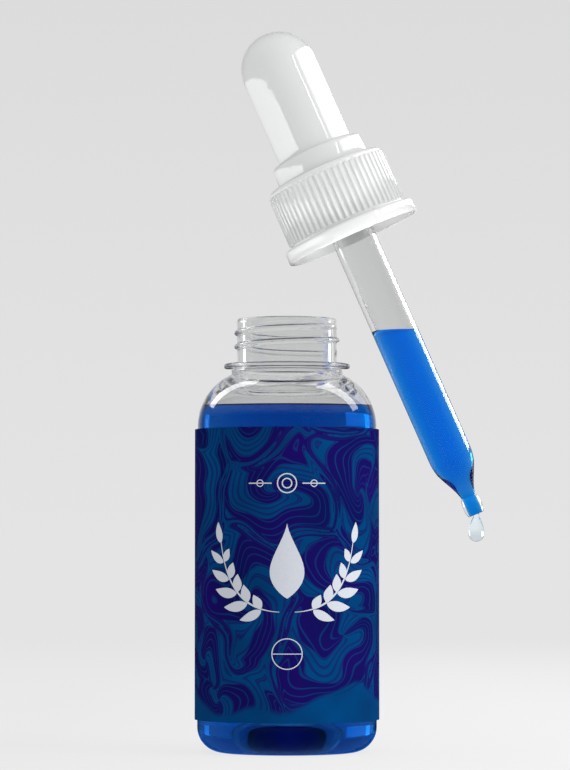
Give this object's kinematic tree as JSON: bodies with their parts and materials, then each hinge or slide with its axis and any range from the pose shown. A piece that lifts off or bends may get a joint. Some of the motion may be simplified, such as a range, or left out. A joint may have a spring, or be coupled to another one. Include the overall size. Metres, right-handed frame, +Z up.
{
  "type": "cuticle oil bottle",
  "caption": "Clear round bottle of blue oil with a wrapped label, open, with its ribbed screw cap, rubber bulb and pipette lifted out beside the neck and a drop at the tip.",
  "frame": {"origin": "middle of the bottle's flat foot", "axes": "+Z up the bottle's axis, +X towards the side where the dropper's tip hangs, -Y towards the viewer of the picture"},
  "size_m": [0.0498, 0.0317, 0.1243],
  "materials": {
    "clear_plastic": "clear, glossy, blow moulded",
    "bottle_oil": "clear deep blue liquid",
    "label_print": "satin film, printed deep blue with fine lines",
    "white_plastic": "semi-gloss, moulded",
    "white_rubber": "smooth, satin",
    "washer_foam": "matte",
    "clear_glass": "clear, polished",
    "pipette_oil": "clear bright blue liquid",
    "oil_drop": "clear liquid"
  },
  "bodies": {
    "bottle": {"bottle": "clear_plastic", "bottle_oil": "bottle_oil", "bottle_label": "label_print"},
    "drop": {"hanging_drop": "oil_drop"},
    "dropper": {"pipette": "clear_glass", "pipette_oil": "pipette_oil", "sealing_washer": "washer_foam"},
    "cap": {"screw_cap": "white_plastic"},
    "bulb": {"bulb": "white_rubber"}
  },
  "joints": [
    {"name": "dropper_lift", "type": "slide", "parent": "bottle", "child": "drop", "axis": [-0.4725, 0, 0.8813], "range_m": [0, 0.069]},
    {"name": "dropper_tilt", "type": "hinge", "parent": "drop", "child": "dropper", "pos_m": [0.03258, 0, 0.04072], "axis": [0, 1, 0], "range_deg": [0, 23.8], "deforming": ["hanging_drop"]},
    {"name": "cap_turn", "type": "hinge", "parent": "dropper", "child": "cap", "pos_m": [0.0116, 0, 0.0883], "axis": [-0.4035, 0, 0.915], "continuous": true},
    {"name": "bulb_press", "type": "slide", "parent": "dropper", "child": "bulb", "axis": [0.4035, 0, -0.915], "range_m": [0, 0.003], "stiffness_N_per_m": 300, "deforming": ["bulb"]}
  ]
}
